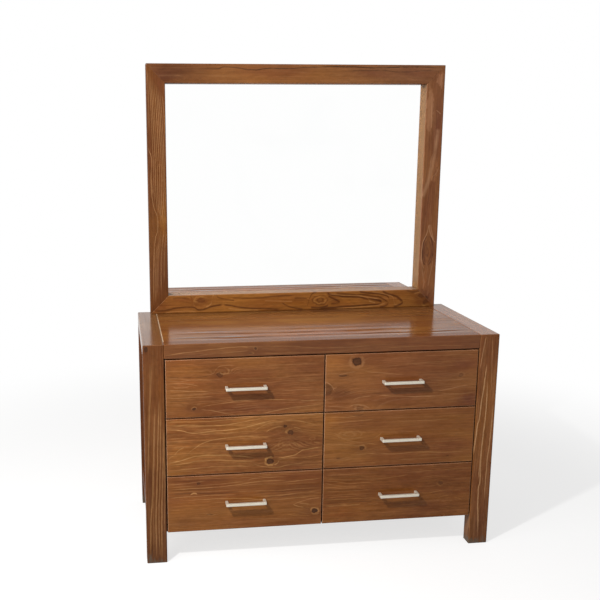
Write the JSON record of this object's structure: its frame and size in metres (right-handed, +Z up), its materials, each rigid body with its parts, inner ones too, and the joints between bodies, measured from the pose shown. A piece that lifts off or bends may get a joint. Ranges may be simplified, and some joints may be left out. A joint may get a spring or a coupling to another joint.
{
  "type": "dresser with mirror",
  "caption": "Wide stained pine dresser with columns of sliding drawers, bar handles and a tall framed mirror fixed at the back of its top.",
  "frame": {"origin": "on the floor, in the middle of the whole object's width and depth", "axes": "+Z up, +X to the right seen from the front, +Y to the back"},
  "size_m": [1.2, 0.582, 1.668],
  "materials": {
    "stained_pine": "stained pine, satin lacquer",
    "bare_pine": "planed pine, clear sealed",
    "plywood": "thin plywood, unfinished",
    "satin_nickel": "satin nickel plate",
    "zinc_steel": "zinc plated",
    "mirror_glass": "silvered float glass"
  },
  "bodies": {
    "carcass": {"left_front_leg": "stained_pine", "right_front_leg": "stained_pine", "left_rear_leg": "stained_pine", "right_rear_leg": "stained_pine", "left_top_rail": "stained_pine", "right_top_rail": "stained_pine", "left_side_panel": "stained_pine", "right_side_panel": "stained_pine", "side_bottom_rails": "stained_pine", "top_front_edge": "stained_pine", "top_boards": "stained_pine", "centre_divider": "bare_pine", "front_rails": "bare_pine", "rear_rails": "bare_pine", "back_panel": "plywood", "drawer_runners": "bare_pine", "mirror_left_stile": "stained_pine", "mirror_right_stile": "stained_pine", "mirror_top_rail": "stained_pine", "mirror_bottom_rail": "stained_pine", "mirror_glass": "mirror_glass", "mirror_backing": "plywood", "mirror_battens": "bare_pine", "mirror_screws": "zinc_steel"},
    "upper_left_drawer": {"upper_left_drawer_front": "stained_pine", "upper_left_drawer_sides": "bare_pine", "upper_left_drawer_ends": "bare_pine", "upper_left_drawer_bottom": "plywood", "upper_left_drawer_handle": "satin_nickel", "upper_left_drawer_handle_screws": "zinc_steel"},
    "upper_right_drawer": {"upper_right_drawer_front": "stained_pine", "upper_right_drawer_sides": "bare_pine", "upper_right_drawer_ends": "bare_pine", "upper_right_drawer_bottom": "plywood", "upper_right_drawer_handle": "satin_nickel", "upper_right_drawer_handle_screws": "zinc_steel"},
    "middle_left_drawer": {"middle_left_drawer_front": "stained_pine", "middle_left_drawer_sides": "bare_pine", "middle_left_drawer_ends": "bare_pine", "middle_left_drawer_bottom": "plywood", "middle_left_drawer_handle": "satin_nickel", "middle_left_drawer_handle_screws": "zinc_steel"},
    "middle_right_drawer": {"middle_right_drawer_front": "stained_pine", "middle_right_drawer_sides": "bare_pine", "middle_right_drawer_ends": "bare_pine", "middle_right_drawer_bottom": "plywood", "middle_right_drawer_handle": "satin_nickel", "middle_right_drawer_handle_screws": "zinc_steel"},
    "lower_left_drawer": {"lower_left_drawer_front": "stained_pine", "lower_left_drawer_sides": "bare_pine", "lower_left_drawer_ends": "bare_pine", "lower_left_drawer_bottom": "plywood", "lower_left_drawer_handle": "satin_nickel", "lower_left_drawer_handle_screws": "zinc_steel"},
    "lower_right_drawer": {"lower_right_drawer_front": "stained_pine", "lower_right_drawer_sides": "bare_pine", "lower_right_drawer_ends": "bare_pine", "lower_right_drawer_bottom": "plywood", "lower_right_drawer_handle": "satin_nickel", "lower_right_drawer_handle_screws": "zinc_steel"}
  },
  "joints": [
    {"name": "upper_left_slide", "type": "slide", "parent": "carcass", "child": "upper_left_drawer", "axis": [0, -1, 0], "range_m": [0, 0.36]},
    {"name": "upper_right_slide", "type": "slide", "parent": "carcass", "child": "upper_right_drawer", "axis": [0, -1, 0], "range_m": [0, 0.36]},
    {"name": "middle_left_slide", "type": "slide", "parent": "carcass", "child": "middle_left_drawer", "axis": [0, -1, 0], "range_m": [0, 0.36]},
    {"name": "middle_right_slide", "type": "slide", "parent": "carcass", "child": "middle_right_drawer", "axis": [0, -1, 0], "range_m": [0, 0.36]},
    {"name": "lower_left_slide", "type": "slide", "parent": "carcass", "child": "lower_left_drawer", "axis": [0, -1, 0], "range_m": [0, 0.36]},
    {"name": "lower_right_slide", "type": "slide", "parent": "carcass", "child": "lower_right_drawer", "axis": [0, -1, 0], "range_m": [0, 0.36]}
  ]
}
